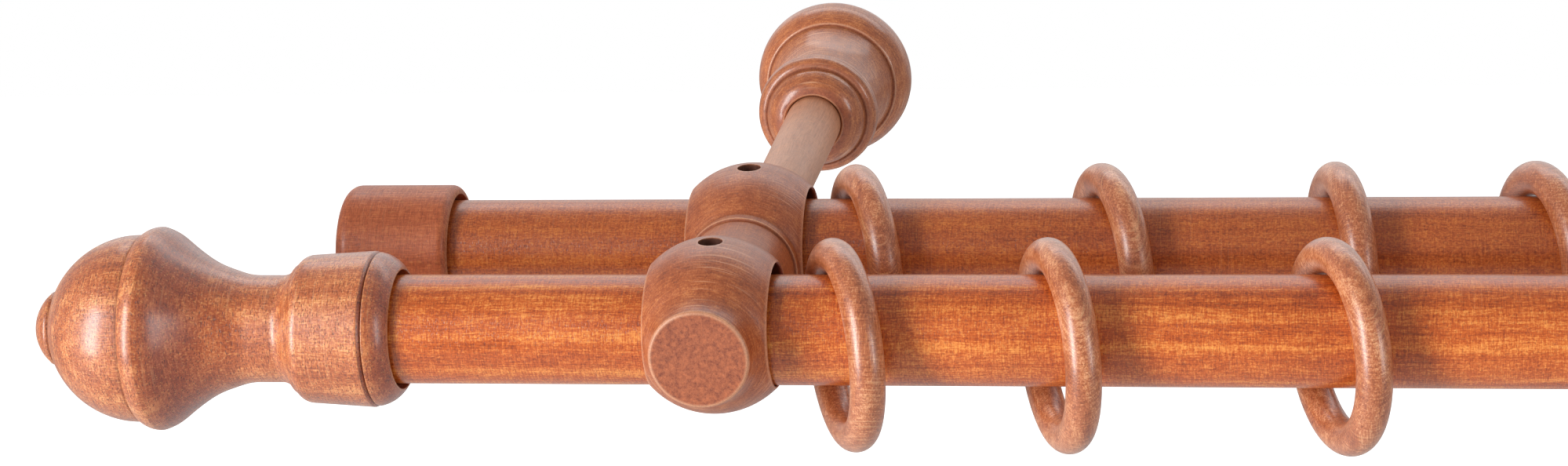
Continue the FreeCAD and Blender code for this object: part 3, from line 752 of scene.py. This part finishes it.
def makeSpindle(node, name):
    # turned whole, then planed to the node's width, bored for the poles and drilled for the screws
    low, high = corner(node, 0), corner(node, 1)
    axisX, noseY, axisZ = (low[0] + high[0]) / 2, low[1], (low[2] + high[2]) / 2
    halfWidth, boreR = (high[0] - low[0]) / 2, bracket["boreDia"] / 2
    boreYs = [frontAxis[1], rearAxis[1]]
    frontAt, rearAt = boreYs[0] - noseY, boreYs[1] - noseY
    profile = easedProfile(bracketOutline(frontAt, rearAt, high[1] - noseY))
    body = turnedPiece(name, profile, bracket["turns"], (0, 1, 0), (axisX, noseY, axisZ), bracketBeech)
    cutters = [(boxCutter((axisX - halfWidth, noseY - bracket["boxClear"], axisZ - bracket["boxHalf"]),
                          (axisX + halfWidth, high[1] + bracket["boxClear"], axisZ + bracket["boxHalf"])),
                "INTERSECT")]
    ease, reach = bracket["boreEase"], halfWidth + bracket["boreClear"]
    # the bore opens out at both cheeks, and the stations inside it and the hole carry the dark painted
    # shade
    shade = halfWidth - bracket["boreShade"]
    half = [(shade, boreR), (halfWidth - ease, boreR), (halfWidth, boreR + ease), (reach, boreR + ease),
            (reach, 0)]
    bore = [(-a, r) for a, r in half[::-1]] + half
    seat = boreR + bracket["lockWeb"]
    crown, top = bracket["bulgeDia"] / 2 - bracket["crownDrop"], bracket["bulgeDia"]
    headR, screwR = bracket["counterboreDia"] / 2, bracket["screwHoleDia"] / 2
    hole = [(0, 0), (0, screwR), (seat, screwR), (seat, headR), (crown, headR), (top, headR), (top, 0)]
    for y in boreYs:
        origin = (axisX, y, axisZ)
        cutters.append((plainCutter(bore, bracket["boreTurns"], (1, 0, 0), origin), "DIFFERENCE"))
        cutters.append((plainCutter(hole, bracket["holeTurns"], (0, 0, 1), origin), "DIFFERENCE"))
    carve(body, cutters)
    marks = spindleMarks(body.data, profile, axisX, noseY, axisZ, [frontAt, rearAt], halfWidth, boreR)
    for word, values in marks.items():
        attribute = body.data.attributes.get(word) or body.data.attributes.new(word, "FLOAT", "POINT")
        attribute.data.foreach_set("value", values.astype(np.float32))
    body.data.polygons.foreach_set("use_smooth", np.ones(len(body.data.polygons), bool))
    body.data.set_sharp_from_angle(angle=math.radians(bracket["sharpAngle"]))
    body.data.update()
    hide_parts(node)
    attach(body, "wall_frame")


makeSpindle("left_bracket", "leftBracketWood")
makeSpindle("right_bracket", "rightBracketWood")
print("stage 6: spindles turned, flatted and bored")


# the steel of the wall studs and the lock screws
stud = {
    "armDia": 7.6, "wallDia": 8.0, "rootShare": 0.74, "point": 7.0, "end": 0.8,
    "armPitch": 2.2, "wallPitch": 3.4, "ridgeShare": 0.28, "runOut": 2.0,
    "plain": (-14.0, 1.0), "plainShare": 0.97, "step": 0.3, "turns": 40, "sharpAngle": 50,
}
zinc = {
    "cloud": 420.0, "tones": ("9d9fa1", "c9cbcc"), "rough": (0.22, 0.42), "bump": 0.15, "relief": 0.05,
}


def zincSteel(name):
    # zinc plated steel, drawn and tumbled: a cool grey metal with a faint cloud in its gloss
    material, tree = newMaterial(name)
    place = addNode(tree, "TexCoord")
    cloud = addNode(tree, "TexNoise", {"Vector": (place, "Object"), "Scale": zinc["cloud"], "Detail": 4.0,
                                       "Roughness": 0.6})
    tint = addNode(tree, "Mix", {0: (cloud, "Fac"), 6: colour(zinc["tones"][0]),
                                 7: colour(zinc["tones"][1])}, data_type="RGBA")
    rough = addNode(tree, "MapRange", {"Value": (cloud, "Fac"), "To Min": zinc["rough"][0],
                                       "To Max": zinc["rough"][1]})
    bump = addNode(tree, "Bump", {"Height": (cloud, "Fac"), "Strength": zinc["bump"],
                                  "Distance": zinc["relief"] * mm})
    shader = addNode(tree, "BsdfPrincipled", {"Base Color": (tint, 2), "Roughness": (rough, "Result"),
                                              "Metallic": 1.0, "Normal": (bump, "Normal")})
    addNode(tree, "OutputMaterial", {"Surface": (shader, "BSDF")})
    return material


def studSurface(centreX, centreZ, low, high, name, material):
    # a threaded rod: radius = root + (crest - root) * ridge, where ridge is a tent over the fraction of
    # distance / pitch - angle / full turn. The thread dies out at the plain middle and into the point
    rows = int((high - low) / stud["step"])
    a = np.linspace(low, high, rows)[:, None]
    t = np.linspace(0, 2 * math.pi, stud["turns"], endpoint=False)[None, :]
    plainLow, plainHigh = stud["plain"]
    wallSide = a > plainHigh
    pitch = np.where(wallSide, stud["wallPitch"], stud["armPitch"])
    crest = np.where(wallSide, stud["wallDia"], stud["armDia"]) / 2 * (1 + 0 * t)
    u = np.mod(a / pitch - t / (2 * math.pi), 1.0)
    ridge = np.clip(1 - abs(u - 0.5) / stud["ridgeShare"], 0, 1)
    fade = np.clip(np.maximum(plainLow - a, a - plainHigh) / stud["runOut"], 0, 1)
    root = crest * stud["rootShare"]
    radius = root + (crest - root) * ridge * fade
    plain = (a >= plainLow) & (a <= plainHigh)
    radius = np.where(plain, stud["armDia"] / 2 * stud["plainShare"], radius)
    taper = np.clip((high - a) / stud["point"], 0, 1) * np.clip((a - low) / stud["end"], 0, 1)
    radius = radius * np.minimum(1, taper)
    points = np.stack([centreX + radius * np.cos(t), a + 0 * t, centreZ + radius * np.sin(t)], -1)
    quads = gridFaces(rows, stud["turns"], False, True, True)
    used, compact = np.unique(quads, return_inverse=True)
    faces = [list(dict.fromkeys(q)) for q in compact.reshape(-1, 4)[:, ::-1].tolist()]
    return meshObject(name, points.reshape(-1, 3)[used], faces, None, material, stud["sharpAngle"])


studSteel = zincSteel("steel zinc plated, stud")
studLow, studHigh = corner("wall_studs", 0), corner("wall_studs", 1)
studXs = {"left": studLow[0] + stud["wallDia"] / 2, "right": studHigh[0] - stud["wallDia"] / 2}
for side, centreX in studXs.items():
    piece = studSurface(centreX, (studLow[2] + studHigh[2]) / 2, studLow[1], studHigh[1],
                        side + "StudSteel", studSteel)
    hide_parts("wall_studs")
    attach(piece, "wall_frame")
print("stage 7: studs threaded")


# finishes of the parts kept as the frame has them
def dress(node, material):
    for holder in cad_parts[node].material_slots:
        holder.material = material


frontBeech = beechMaterial("beech dowel, stained and lacquered, front", poleLook, pith=(0, 262, 12))
rearBeech = beechMaterial("beech dowel, stained and lacquered, rear", rearPoleLook, pith=(0, 180, 6))
dress("front_pole", frontBeech)
dress("rear_pole", rearBeech)
dress("lock_screws", zincSteel("steel zinc plated, lock screw"))

# the rings are cut from four boards, and neighbours don't share one
ringTurns = [20, 68, -35, 140]
ringBeeches = [beechMaterial("beech ring, turned and lacquered " + str(i + 1), ringLook,
                             (angle, 90, 0), (7 * i, 3, 4)) for i, angle in enumerate(ringTurns)]
ringNodes = sorted(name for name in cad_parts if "_ring_" in name)
for i, node in enumerate(ringNodes):
    dress(node, ringBeeches[(i * 3 + i // 10) % len(ringBeeches)])
print("stage 8: poles, rings and screws finished")


# Floor, light and background. Each lamp has its name, place, target, size and power, and these
# lengths are in metres, except the depth of the paper's tooth.
studio = {
    "floorZ": -0.9, "floorSize": 6.0, "paper": "dcdcdc", "tooth": 900.0, "toothBump": 0.05,
    "toothRelief": 0.1, "lift": (0.3, 1.0), "liftReach": (0.7, 1.7),
    "worldLevel": 0.24, "mirrorLevel": 0.5,
    "lamps": [
        ("behindAbove", (-0.2, 1.1, 1.2), (-0.2, -0.15, 0), (2.4, 0.6), 12.0),
        ("behindLow", (-0.2, 1.6, 0.45), (-0.2, 0, 0), (3.2, 1.0), 6.0),
        ("keyLeft", (-2.1, -1.65, 0.4), (-0.45, -0.2, 0), (0.7, 1.8), 66.0),
        ("fillRight", (2.0, -1.6, 0.4), (-0.2, -0.2, 0), (0.5, 1.6), 24.0),
    ],
}


def makeFloor():
    half = studio["floorSize"] / 2
    z = studio["floorZ"]
    material, tree = newMaterial("paper, matt white")
    seen = addNode(tree, "LightPath")
    place = addNode(tree, "TexCoord")
    tooth = addNode(tree, "TexNoise", {"Vector": (place, "Object"), "Scale": studio["tooth"]})
    bump = addNode(tree, "Bump", {"Height": (tooth, "Fac"), "Strength": studio["toothBump"],
                                  "Distance": studio["toothRelief"] * mm})
    matt = addNode(tree, "BsdfDiffuse", {"Color": colour(studio["paper"]), "Normal": (bump, "Normal")})
    # the paper glows a little to the eye, more so far from the part, so that it runs out to plain white
    reach = addNode(tree, "VectorMath", [(place, "Object")], operation="LENGTH")
    glow = addNode(tree, "MapRange", {
        "Value": (reach, "Value"), "From Min": studio["liftReach"][0], "From Max": studio["liftReach"][1],
        "To Min": studio["lift"][0], "To Max": studio["lift"][1]})
    level = addNode(tree, "Math", [(seen, "Is Camera Ray"), (glow, "Result")], operation="MULTIPLY")
    lift = addNode(tree, "Emission", {"Color": (1, 1, 1, 1), "Strength": (level, "Value")})
    both = addNode(tree, "AddShader", [(matt, "BSDF"), (lift, "Emission")])
    addNode(tree, "OutputMaterial", {"Surface": (both, "Shader")})
    plane = np.array([(-half, -half, z), (half, -half, z), (half, half, z), (-half, half, z)]) / mm
    floor = meshObject("floorPaper", plane, [[0, 1, 2, 3]], None, material)


def makeLamps():
    for name, place, target, size, power in studio["lamps"]:
        lamp = bpy.data.lights.new(name, "AREA")
        lamp.shape = "RECTANGLE"
        lamp.size, lamp.size_y = size
        lamp.energy = power
        holder = bpy.data.objects.new(name, lamp)
        aim = (Vector(target) - Vector(place)).to_track_quat("-Z", "Y").to_matrix().to_4x4()
        holder.matrix_world = Matrix.Translation(place) @ aim
        bpy.context.collection.objects.link(holder)


def makeWorld():
    # plain white to the eye, a softer grey in reflections and softer still as light
    world = bpy.data.worlds.new("studioWorld")
    bpy.context.scene.world = world
    world.use_nodes = True
    tree = world.node_tree
    tree.nodes.clear()
    seen = addNode(tree, "LightPath")
    soft = addNode(tree, "MapRange", {"Value": (seen, "Is Glossy Ray"), "To Min": studio["worldLevel"],
                                      "To Max": studio["mirrorLevel"]})
    direct = addNode(tree, "Math", [(seen, "Is Camera Ray"), (seen, "Is Transmission Ray")],
                     operation="MAXIMUM")
    level = addNode(tree, "Math", [(direct, "Value"), (soft, "Result")], operation="MAXIMUM")
    sky = addNode(tree, "Background", {"Color": (1, 1, 1, 1), "Strength": (level, "Value")})
    addNode(tree, "OutputWorld", {"Surface": (sky, "Background")})


makeFloor()
makeLamps()
makeWorld()
print("stage 9: studio set")
